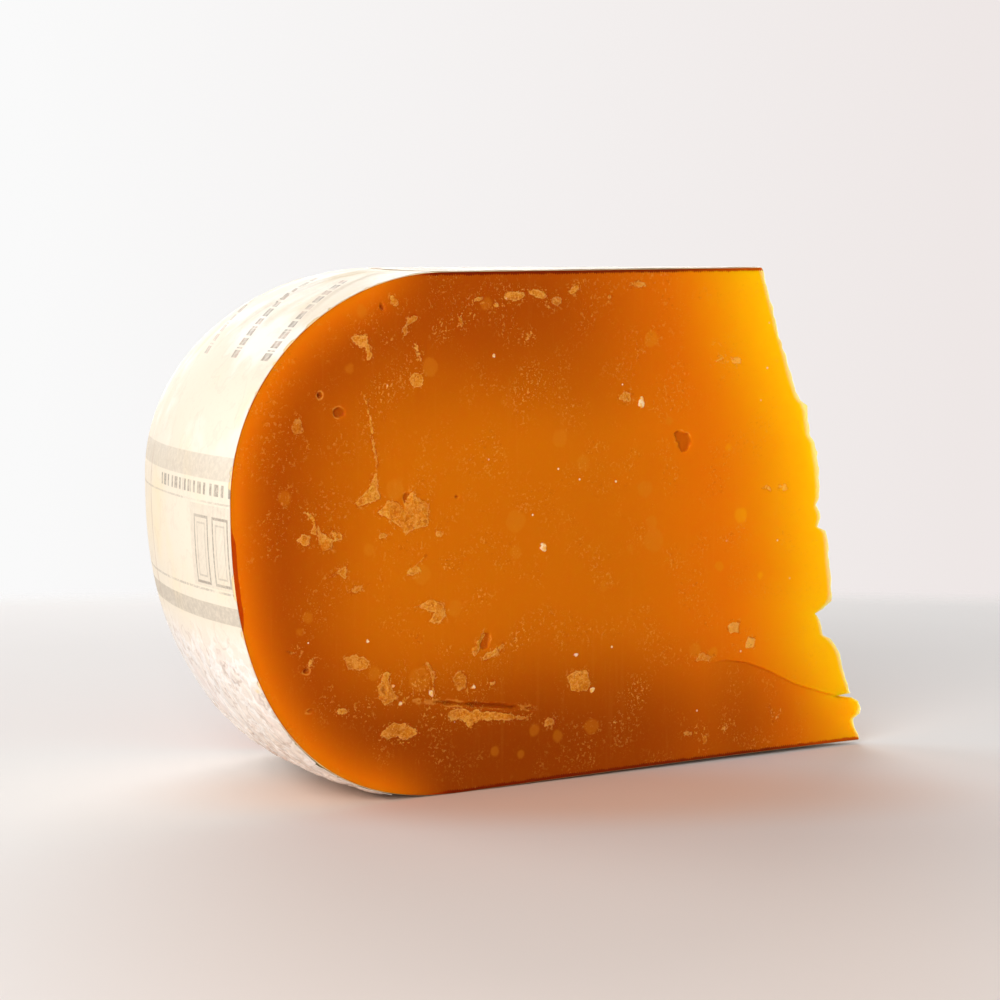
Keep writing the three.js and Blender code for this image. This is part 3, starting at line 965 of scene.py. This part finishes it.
def paste_material(wheel, colours):
    """Long-aged paste with its torn flakes, crystals, pits and dark rind."""
    sh = Shader("aged_paste")
    x, y, z = sh.split(sh.place())
    height = z / MM
    depth, out, radius = rind_depth(sh, wheel, x, y, z)
    shade = paste_shade(sh, colours, depth, out, height)
    spot = sh.field("spot").step(-0.3, 0.5)
    # Spots close to the tip take the painted tip glow
    pale = sh.blend(sh.field("thin").step(46, 12), colours.waxy, colours.tip)
    shade = sh.blend(spot * 0.30, shade, pale)
    streak = sh.noise(600, 3, 0.5, sh.place((1, 1, 0.05))).step(0.60, 0.72)
    shade = sh.blend(streak * 0.03, shade, colours.torn)

    calm = 1 - sh.field("thin").step(34, 4) * 0.6
    plates = sh.noise(900, 4, 0.6, sh.place((1, 1, 1.7)))
    fray = sh.noise(2300, 3, 0.6)
    shade, torn = torn_flakes(sh, colours, shade, calm, plates, fray)
    shade = crystals_and_pits(sh, colours, shade, torn)
    shade, grains = sandy_grains(sh, colours, shade, calm, fray)
    shade = rind_skin(sh, colours, shade, height, depth, out, radius)

    rough = 0.44 + torn * 0.25 + (plates - 0.5) * 0.14
    bumps = ((sh.noise(900, 5, 0.7) * torn, 0.30 * MM), (sh.noise(420, 4, 0.6), 0.04 * MM),
             (sh.noise(900, 2, 0.5, sh.place((1, 1, 0.05))), 0.02 * MM), (grains, 0.08 * MM))
    return sh.finish(shade, rough, bumps, subsurface_weight=0.8, subsurface_scale=1.0,
                     subsurface_radius=(4.0 * MM, 1.5 * MM, 0.35 * MM), specular_ior_level=0.02)


def coat_material(colours):
    """Food-grade coat: pale yellow plastic with the mark of the cheese cloth, with painted shade along the
    underside.
    """
    sh = Shader("cheese_coat")
    cloud = sh.noise(70, 3)
    base = sh.blend(cloud.step(0.35, 0.7) * 0.35, colours.coat, colours.paper)
    _, _, z = sh.split(sh.place())
    # Painted shade along the underside
    base = sh.blend((z / MM).step(3.0, 0.8) * 0.85, base, colours.under)
    weave = sh.dots(1500)
    return sh.finish(base, 0.34 + cloud * 0.15, ((weave, 0.05 * MM), (sh.noise(300, 3), 0.08 * MM)),
                     specular_ior_level=0.4)


def paper_base(sh, colours):
    """Unprinted paper, a little yellowed and blotched by the coat under it."""
    blotch = sh.noise(45, 4)
    base = sh.blend(blotch.step(0.5, 0.8) * 0.30, colours.paper, colours.coat)
    fibre = sh.noise(900, 3, 0.6)
    return sh.blend(fibre.step(0.55, 0.75) * 0.10, base, colours.ink)


def worn(sh, amount):
    """Gaps that wear has left in the printing."""
    gaps = sh.noise(1100, 4, 0.7).step(0.36, 0.58) * sh.noise(70, 3).step(0.28, 0.48)
    return gaps * amount


# Rows of dashes on the upper shoulder: where each starts, its slant, its bend and its strength
PRINTED_ROWS = (
    (5.9, 0.0, 0.012, 1.0),
    (22.6, 0.25, 0.0098, 0.95),
    (45.5, 0.55, 0.013, 0.90),
)


def printed_rows(around, climb):
    """Three rows of worn dashes that climb the upper shoulder and fan away from the cut."""
    up = climb - 33.0
    total = None
    for start, slant, bend, share in PRINTED_ROWS:
        off = around - (start + up * slant + up * up * bend)
        row = abs(off).step(1.9, 1.6) * share
        hollow = abs(off).step(0.4, 0.7) * 0.35 + 0.65
        row = row * hollow
        total = row if total is None else total + row
    dashes = ((climb * 1.85).wave() + (climb * 4.7).wave() * 0.5).step(-0.75, -0.45)
    return total * dashes * abs(climb - 50.0).step(17.5, 16.0)


def film_over_paper(sh, colours, base, climb, film, folds, creases_and_glints):
    """Adds the shiny film over the lower shoulder, with painted glints and painted shade along its crease
    lines, and the pale, worn upper one.
    """
    base = sh.blend(film * 0.8, base, colours.film)
    base = sh.blend(sh.noise(60, 3).step(0.45, 0.65) * climb.step(5, 20) * 0.5, base, colours.white)
    smudge = sh.noise(75, 4, 0.6).step(0.50, 0.66)
    base = sh.blend(smudge * film * 0.42, base, colours.pink_film)
    # Painted shade along the folds, most on the film
    base = sh.blend(folds.step(0.020, 0.004) * (film * 0.55 + 0.10), base, colours.pink)
    # Painted glints along the film's crease lines
    return sh.blend(creases_and_glints.step(0.050, 0.005) * film * 0.60, base, colours.white)


def side_bands(sh, colours, base, around, height, drift):
    """Adds the two grey bands, the thin rules between them and a row of beads."""
    texture = sh.noise(800, 4, 0.7).step(0.30, 0.62) * 0.5 + 0.5
    band_high = abs(height - 77.2 + drift * 0.3).step(2.8, 2.5)
    band_low = abs(height - 44.6 + drift * 0.3).step(2.2, 1.9)
    base = sh.blend((band_high * 0.33 + band_low * 0.50) * texture, base, colours.ink)
    rules = abs(height - 49.6).step(0.35, 0.2) + abs(height - 69.4).step(0.30, 0.15) * 0.8
    beads = ((around * 2.05).wave() + (around * 3.37).wave() * 0.8).step(-0.2, 0.15)
    beads = beads * abs(height - 72.3).step(1.45, 1.2) * around.step(46.0, 45.0)
    marks = rules * 0.5 * worn(sh, 1.0) + beads * (worn(sh, 0.4) + 0.45)
    return sh.blend(marks, base, colours.ink), texture


def side_frames(sh, colours, base, around, height, texture):
    """Adds two plain double frames on a pinstriped field."""
    for centre in (5.4, 15.4):
        aside = abs(around - centre) - 3.6
        beyond = aside.at_least(abs(height - 58.6) - 7.4)
        lines = abs(beyond).step(0.42, 0.20) * 0.75 + abs(beyond + 1.5).step(0.30, 0.12) * 0.40
        base = sh.blend(lines * (worn(sh, 0.5) + 0.60), base, colours.ink)
    stripes = (around * 9.5).wave().step(0.0, 0.6)
    stripes = stripes * abs(height - 59.5).step(9.4, 9.1) * around.step(22.0, 21.0)
    return sh.blend(stripes * 0.45 * texture, base, colours.ink)


def side_paper_material(colours):
    """The side label: cream paper with faded bands, a pinstriped field and rows of worn dashes."""
    sh = Shader("side_paper")
    around, height, climb = sh.field("around"), sh.field("tall"), sh.field("climb")
    drift = (sh.noise(18, 2) - 0.5) * 1.6
    film = climb.step(-27.0, -40.0)
    folds = abs(sh.noise(62, 4, 0.55) - 0.5)
    creases_and_glints = abs(sh.noise(95, 4, 0.6) - 0.5)
    base = film_over_paper(sh, colours, paper_base(sh, colours), climb, film, folds, creases_and_glints)
    base, texture = side_bands(sh, colours, base, around, height, drift)
    base = side_frames(sh, colours, base, around, height, texture)
    inks = sh.blend(sh.noise(160, 2).step(0.4, 0.6), colours.ink, colours.pink)
    base = sh.blend(printed_rows(around, climb) * (worn(sh, 0.45) + 0.50), base, inks)
    lap = abs(around - 57.4 + drift).step(0.45, 0.15) * abs(height - 60).step(22, 14)
    base = sh.blend(lap * 0.6, base, colours.pink)
    low_print = abs(around - 12.0 + climb * 0.12).step(1.5, 1.1) * (climb * 2.1).wave().step(-0.2, 0.2)
    base = sh.blend(low_print * film * worn(sh, 0.6), base, colours.pink)
    wax = sh.noise(240, 4, 0.6).step(0.66, 0.74) * (film + climb.step(40, 56) * 0.7).at_most(1.0)
    base = sh.blend(wax * 0.8, base, colours.coat)
    crumple = (sh.noise(120, 4, 0.6) * film, 1.2 * MM)
    folded = ((folds + creases_and_glints) * film, 1.6 * MM)
    crease = (sh.noise(500, 4, 0.6), 0.07 * MM)
    rough = 0.56 - film * 0.30 + sh.noise(90, 3) * 0.15
    sh.feed(sh.surface.inputs["Coat Weight"], film * 0.6)
    return sh.finish(base, rough, (crumple, folded, crease), specular_ior_level=0.35, coat_roughness=0.12)


def top_paper_material(wheel, colours):
    """The top label: cream paper with plain faded rings."""
    sh = Shader("top_paper")
    x, y, _ = sh.split(sh.place())
    across = x - float(wheel.axis[0])
    along = y - float(wheel.axis[1])
    radius = ((across * across + along * along) ** 0.5) / MM
    base = paper_base(sh, colours)
    rings = abs(radius - 106.0).step(3.6, 3.2) * 0.7 + abs(radius - 92.0).step(0.8, 0.5) * 0.7
    inner = abs(radius - 58.0).step(14.2, 13.8) * 0.45
    base = sh.blend(sh.noise(40, 4).step(0.35, 0.65) * 0.45 + 0.15, base, colours.pink_film)
    base = sh.blend((rings + inner) * worn(sh, 0.95), base, colours.ink)
    return sh.finish(base, 0.6, ((sh.noise(500, 4, 0.6), 0.08 * MM),), specular_ior_level=0.3)


# ---------------------------------------------------------------- pieces

class CHEESE_OT_paste(bpy.types.Operator):
    """Makes the paste with its rind: two rough cuts, the crumbled tip and the round outside"""
    bl_idname = "cheese.paste"
    bl_label = "Paste and rind"

    def execute(self, context):
        wheel = Wheel(context.scene.cheese_wheel)
        outside = outside_line(wheel, PASTE_DEPTH, 0.7 * MM)
        tip = ragged_line(0.42 * MM, 3)
        low, high = outside[0, 1] + 0.4 * MM, outside[-1, 1] - 0.4 * MM
        tip = tip[(tip[:, 1] < high) & (tip[:, 1] > low)]
        front = np.concatenate((outside, tip))
        on_outside = np.arange(len(front)) < len(outside)
        back = back_line(wheel, front, on_outside)
        shaped = CutFeatures(FLAKE_SHAPES, FRONT_FLAKES, FRONT_CRYSTALS, FRONT_SPOTS, FRONT_PITS,
                             FRONT_SAND, BROKEN_EDGE)
        chance = random_features(23, wheel)
        near = self.cut_face(wheel, front, shaped, 11, wheel.front, 0.30 * MM)
        far = self.cut_face(wheel, back, chance, 41, wheel.back, 0.36 * MM)
        points, faces, fields = self.join(wheel, near, far, front, len(outside))
        piece = make_object("paste_with_rind", points, faces, fields, 40)
        hand_over(piece, "cheese", paste_material(wheel, context.scene.cheese_paste))
        return {"FINISHED"}

    def cut_face(self, wheel, line, features, seed, place, fine):
        """Points, triangles, outline and fields of one cut face."""
        points, triangles, ring = face_triangles(line, features, seed, 1.1 * MM, fine)
        relief, fields = face_relief(points, wheel, features, seed)
        relief[ring] = 0
        return place(*points.T, wheel.inset(*points.T) - relief), triangles, ring, fields

    def join(self, wheel, near, far, front, outside_count):
        """Joins the two cut faces by the outside and the broken tip."""
        first, first_faces, first_ring, first_fields = near
        last, last_faces, last_ring, last_fields = far
        count = 14
        start, end = first[first_ring][:, None, :], last[last_ring][:, None, :]
        share = np.linspace(0, 1, count)[1:-1][None, :, None] + 0 * start
        middle = wheel.between(start, end, share, section_bulge(wheel, front))
        thin = smooth(0, 4 * MM, wheel.thickness(*front.T))[:, None]
        broken = (np.arange(len(front)) >= outside_count)[:, None]
        middle[..., 0] -= np.abs(rough_noise(middle, 2 * MM, 71, 3)) * 0.5 * MM * thin * broken
        rows = len(front)
        points = np.concatenate((first, last, middle.reshape(-1, 3)))
        inner = len(first) + len(last) + np.arange(rows * (count - 2)).reshape(rows, count - 2)
        near_edge = np.array(first_ring)[:, None]
        far_edge = len(first) + np.array(last_ring)[:, None]
        index = np.concatenate((near_edge, inner, far_edge), 1)
        wrapped = np.concatenate((index, index[:1]))
        corners = (wrapped[:-1, :-1], wrapped[1:, :-1], wrapped[1:, 1:], wrapped[:-1, 1:])
        quads = np.stack([c.ravel() for c in corners], -1)
        faces = [*first_faces[:, ::-1], *(last_faces + len(first)), *quads]
        fields = {"thin": tip_distance(wheel, points)}
        for name in first_fields:
            plain = 0.0 if name in ("sand", "under") else -9.0
            joined = (first_fields[name], last_fields[name], np.full(middle.size // 3, plain))
            fields[name] = np.concatenate(joined)
        return points, faces, fields


class CHEESE_OT_coat(bpy.types.Operator):
    """Makes the food-grade coat over the rind, open at the two cuts"""
    bl_idname = "cheese.coat"
    bl_label = "Coat"

    def execute(self, context):
        wheel = Wheel(context.scene.cheese_wheel)
        grids = []
        for depth in (COAT_DEPTH, COAT_DEPTH + COAT_THICKNESS):
            line = outside_line(wheel, depth, 1.4 * MM)
            run = np.linspace(0, 1, len(line))
            where = np.linspace(0, 1, 320)
            line = np.stack([np.interp(where, run, line[:, k]) for k in range(2)], -1)
            behind = back_line(wheel, line, np.ones(len(line), bool))
            start = wheel.front(*line.T, wheel.inset(*line.T) + COAT_SET_BACK)[:, None, :]
            end = wheel.back(*behind.T, wheel.inset(*behind.T) + COAT_SET_BACK)[:, None, :]
            share = np.linspace(0, 1, 40)[None, :, None] + 0 * start
            grids.append(wheel.between(start, end, share, section_bulge(wheel, line)))
        points, faces = closed_sheet(*grids)
        piece = make_object("food_coat", points, faces)
        hand_over(piece, "coating", coat_material(context.scene.cheese_paper))
        return {"FINISHED"}


def pleats(around, degrees, rng):
    """Folds of the paper over both shoulders, as millimetres that it stands out."""
    total = np.zeros(around.shape)
    for shoulder, count in ((1, 10), (-1, 20)):
        for _ in range(count):
            middle = rng.uniform(0, 86)
            slant = rng.uniform(-0.5, 0.5)
            wide = rng.uniform(0.4, 1.6)
            tall = rng.uniform(0.15, 0.55) * rng.choice((1, 1, -0.4))
            first = rng.uniform(20, 46)
            place = shoulder * degrees
            off = (around - middle - slant * (place - 55)) / wide
            fold = np.where(off > 0, np.exp(-(off * 2.2) ** 2), np.exp(-(off * 0.7) ** 2))
            total += tall * fold * smooth(first, first + 22, place) * smooth(88, 76, place)
    return total


class CHEESE_OT_side_label(bpy.types.Operator):
    """Makes the paper band round the side, pleated over both shoulders"""
    bl_idname = "cheese.side_label"
    bl_label = "Side label"

    def execute(self, context):
        wheel = Wheel(context.scene.cheese_wheel)
        degrees = np.linspace(-76, 86, 420)[:, None]
        share = np.linspace(0, 1, 170)[None, :]
        radius, z = wheel.side(degrees, SIDE_PAPER_DEPTH)
        first, last = self.ends(wheel, degrees, radius, z)
        turn = first + (last - first) * share
        relief = self.relief(turn * radius / MM, degrees + 0 * turn)
        grids = []
        for thickness in (0, PAPER_THICKNESS):
            r, height = wheel.side(degrees, SIDE_PAPER_DEPTH - relief * MM + thickness)
            grids.append(np.stack((-r * np.cos(turn), r * np.sin(turn), height), -1))
        points, faces = closed_sheet(*grids)
        climb = np.cumsum(np.hypot(np.gradient(radius[:, 0]), np.gradient(z[:, 0])))
        climb -= np.interp(0, degrees[:, 0], climb)
        fields = {"around": turn * radius, "climb": climb[:, None] + 0 * turn, "tall": grids[0][..., 2]}
        fields = {name: np.tile(values.ravel() / MM, 2) for name, values in fields.items()}
        piece = make_object("side_paper", points, faces, fields)
        hand_over(piece, "side_label", side_paper_material(context.scene.cheese_paper))
        return {"FINISHED"}

    def ends(self, wheel, degrees, radius, z):
        """Where the paper starts and ends round the axis, with torn nicks along both cuts."""
        tears = rough_noise(degrees, 2.2, 8, 4)[:, None]
        nick = (smooth(0.25, 0.6, tears) * 0.9 + 0.10 * np.abs(tears)) * MM
        first = (0.35 * MM + nick) / radius
        last = wheel.back_turn(radius, z) - (0.35 * MM + np.roll(nick, 60)) / radius
        return first, last

    def relief(self, around, degrees):
        """Millimetres that the paper stands out, more over the shoulders than on the side."""
        rng = np.random.default_rng(5)
        spread = np.stack((around, degrees), -1)
        waves = value_noise(spread, 9, 3) * 0.04 + value_noise(spread * (1, 0.3), 3.0, 4) * 0.02
        lap = smooth(57.4, 57.9, around + 0.6 * value_noise(degrees[..., None], 9, 5)) * 0.07
        shoulder = smooth(30, 58, np.abs(degrees)) * smooth(86, 80, np.abs(degrees))
        low = smooth(-30, -50, degrees)
        crumple = np.abs(rough_noise(spread * (1, 0.5), 4.5, 6, 4)) * (0.10 + 0.95 * low)
        folds = pleats(around, degrees, rng) * (0.6 + 0.6 * low)
        held = 0.25 + 0.75 * smooth(0, 5, around)
        return np.clip(waves + lap, -0.06, 0.13) + np.clip(folds + crumple, -0.04, 0.85) * shoulder * held


class CHEESE_OT_top_label(bpy.types.Operator):
    """Makes the printed paper disc on the wheel's flat top"""
    bl_idname = "cheese.top_label"
    bl_label = "Top label"

    def execute(self, context):
        wheel = Wheel(context.scene.cheese_wheel)
        z = np.array(DISC_HIGH.z - TOP_PAPER_DEPTH)
        u = np.linspace(-CRUMBLED_TIP[0][0] * MM + 0.8 * MM, 114.3 * MM, 130)
        line = np.stack((u, z + 0 * u), -1)
        behind = back_line(wheel, line, np.ones(len(u), bool))
        start = wheel.front(*line.T, wheel.inset(*line.T))[:, None, :]
        end = wheel.back(*behind.T, wheel.inset(*behind.T))[:, None, :]
        share = np.linspace(0, 1, 70)[None, :, None] + 0 * start
        grid = wheel.between(start, end, share, section_bulge(wheel, line))
        ripple = rough_noise(grid[..., :2], 9 * MM, 12, 3) * 0.06 * MM
        grids = []
        for thickness in (0, PAPER_THICKNESS):
            lifted = grid.copy()
            lifted[..., 2] += ripple - thickness
            grids.append(lifted)
        points, faces = closed_sheet(*grids)
        piece = make_object("top_paper", points, faces)
        material = top_paper_material(wheel, context.scene.cheese_paper)
        hand_over(piece, "top_label", material)
        return {"FINISHED"}


# ---------------------------------------------------------------- stage

def soft_light(name, place, aim, size, power, tint):
    """A large soft lamp that looks at a point and isn't seen itself."""
    data = bpy.data.lights.new(name, "AREA")
    data.shape = "DISK"
    data.size, data.energy, data.color = size, power, tint
    lamp = bpy.data.objects.new(name, data)
    lamp.location = place
    lamp.rotation_euler = (Vector(aim) - Vector(place)).to_track_quat("-Z", "Y").to_euler()
    lamp.visible_camera = False
    bpy.context.scene.collection.objects.link(lamp)
    return lamp


# Painted warm shade on the floor beside the wedge, tinted by light through the paste: how far right and
# ahead, half width, half depth and strength
PAINTED_WARM_SHADE = (
    (0.022, -0.050, 0.072, 0.034, 0.60),
    (0.020, -0.20, 0.10, 0.22, 0.27),
)
# Lamps, from a point over the origin: how far right, ahead and up, then size, power and colour
LAMPS = {
    "window": (-1.0, 0.35, 0.40, 0.7, 4.0, (1.0, 0.98, 0.95)),
    "bright_wall": (-0.12, 0.9, 0.30, 0.8, 9, (1.0, 0.99, 0.97)),
    "front_fill": (-0.35, -1.2, 0.38, 0.9, 16.2, (1.0, 0.98, 0.96)),
}


def floor_material(settings, place):
    """A pale matt floor that fades out round its edge, painted lighter in front than at the back and with
    painted warm shade beside the wedge.
    """
    sh = Shader("pale_floor")
    x, y, _ = sh.split(sh.place())
    reach = (x * x + y * y) ** 0.5
    cloud = sh.noise(5, 3)
    ahead = (x + place[0]) * math.sin(settings.turn) + (y + place[1]) * math.cos(settings.turn)
    # Painted light: lighter in front, darker at the back
    base = sh.blend(ahead.step(0.30, -0.34), settings.floor, settings.lit_near_floor)
    base = sh.blend(cloud.step(0.3, 0.7) * 0.06, base, settings.backdrop)
    right = (x + place[0]) * math.cos(settings.turn) - (y + place[1]) * math.sin(settings.turn)
    for side, centre, wide, deep, share in PAINTED_WARM_SHADE:
        across = (right - side) / wide
        along = (ahead - centre) / deep
        near = (across * across + along * along) ** 0.5
        base = sh.blend(near.step(1.5, 0.40) * share, base, settings.warm)
    edge = reach.step(settings.floor_radius * 1.03, settings.floor_radius * 0.97)
    sh.feed(sh.surface.inputs["Alpha"], edge)
    return sh.finish(base, 0.7, ((sh.noise(90, 3), 0.02 * MM),), specular_ior_level=0.0)


class CHEESE_OT_stage(bpy.types.Operator):
    """Makes the pale floor, the soft lights, the background and the camera"""
    bl_idname = "cheese.stage"
    bl_label = "Stage"

    def execute(self, context):
        scene = context.scene
        settings = scene.cheese_stage
        self.make_floor(settings)
        self.make_world(scene, settings)
        self.make_lights(settings)
        self.make_camera(scene, settings)
        scene.view_settings.view_transform = "Standard"
        return {"FINISHED"}

    def make_floor(self, settings):
        """A round floor just under the wedge."""
        mesh = bpy.data.meshes.new("floor")
        work = bmesh.new()
        bmesh.ops.create_circle(work, cap_ends=True, radius=settings.floor_radius * 1.05, segments=96)
        work.to_mesh(mesh)
        work.free()
        floor = bpy.data.objects.new("floor", mesh)
        bpy.context.scene.collection.objects.link(floor)
        reach = settings.floor_radius - 0.32
        back = (-reach * math.sin(settings.turn), -reach * math.cos(settings.turn))
        floor.location = (*back, CAD_LOW.z - 0.02 * MM)
        mesh.materials.append(floor_material(settings, floor.location))

    def make_world(self, scene, settings):
        """Pale background, with less light in it than it shows; what the camera sees is painted darker to
        the right, a painted falloff of light across the backdrop.
        """
        world = bpy.data.worlds.new("studio")
        world.use_nodes = True
        scene.world = world
        sky = Nodes(world.node_tree)
        seen = sky.tree.nodes["Background"]
        direction = sky.add("ShaderNodeTexCoord").outputs["Generated"]
        rightward = (math.cos(settings.turn), -math.sin(settings.turn), 0)
        aside = sky.add("ShaderNodeVectorMath", {"operation": "DOT_PRODUCT"}, {0: direction, 1: rightward})
        limits = {"Value": aside.outputs["Value"], "From Min": -0.15, "From Max": 0.15}
        share = sky.value("ShaderNodeMapRange", None, limits)
        sky.feed(seen.inputs["Color"], sky.blend(share, settings.backdrop, settings.far_backdrop))
        sky.feed(seen.inputs["Strength"], 1.0)
        lit = sky.add("ShaderNodeBackground", None, {"Color": (1.0, 0.98, 0.97), "Strength": 0.38})
        is_seen = sky.add("ShaderNodeLightPath").outputs["Is Camera Ray"]
        pick = sky.add("ShaderNodeMixShader", None, {0: is_seen, 1: lit.outputs[0], 2: seen.outputs[0]})
        sky.feed(sky.tree.nodes["World Output"].inputs["Surface"], pick.outputs[0])

    def make_lights(self, settings):
        """A strong lamp behind on the left, a lamp behind for the tip and a soft one in front."""
        turn = settings.turn
        ahead = Vector((math.sin(turn), math.cos(turn), 0))
        right = Vector((math.cos(turn), -math.sin(turn), 0))
        up = Vector((0, 0, 1))
        aim = Vector((0, 0, 0.05))
        for name, (aside, away, above, size, power, tint) in LAMPS.items():
            place = aim + right * aside + ahead * away + up * above
            soft_light(name, place, aim, size, power, tint)

    def make_camera(self, scene, settings):
        """A long lens, low over the table, on the left of the front cut."""
        wheel = Wheel(scene.cheese_wheel)
        data = bpy.data.cameras.new("camera")
        data.lens = settings.lens
        data.sensor_width = 36
        data.clip_start, data.clip_end = 0.01, 20
        camera = bpy.data.objects.new("camera", data)
        camera.location = Vector(wheel.axis) + Vector(settings.camera)
        camera.rotation_euler = (math.pi / 2 - settings.dip, 0, -settings.turn)
        scene.collection.objects.link(camera)
        scene.camera = camera


class CHEESE_PT_panel(bpy.types.Panel):
    """Lists the wedge's pieces and settings"""
    bl_idname = "CHEESE_PT_panel"
    bl_label = "Cheese wedge"
    bl_space_type = "VIEW_3D"
    bl_region_type = "UI"
    bl_category = "Cheese"

    def draw(self, context):
        for name, settings in SETTINGS.items():
            box = self.layout.box()
            for prop in settings.__annotations__:
                box.prop(getattr(context.scene, name), prop)
        for operator in OPERATORS:
            self.layout.operator(operator.bl_idname)


OPERATORS = (CHEESE_OT_paste, CHEESE_OT_coat, CHEESE_OT_side_label, CHEESE_OT_top_label, CHEESE_OT_stage)
CLASSES = (*SETTINGS.values(), *OPERATORS, CHEESE_PT_panel)


def register():
    """Adds the classes and their settings."""
    for cls in CLASSES:
        bpy.utils.register_class(cls)
    for name, settings in SETTINGS.items():
        setattr(bpy.types.Scene, name, bpy.props.PointerProperty(type=settings))


def unregister():
    """Takes the classes and their settings away again."""
    for name in SETTINGS:
        delattr(bpy.types.Scene, name)
    for cls in reversed(CLASSES):
        bpy.utils.unregister_class(cls)


def main():
    """Makes every piece and the stage."""
    register()
    bpy.ops.cheese.paste()
    bpy.ops.cheese.coat()
    bpy.ops.cheese.side_label()
    bpy.ops.cheese.top_label()
    bpy.ops.cheese.stage()


if __name__ == "__main__":
    main()
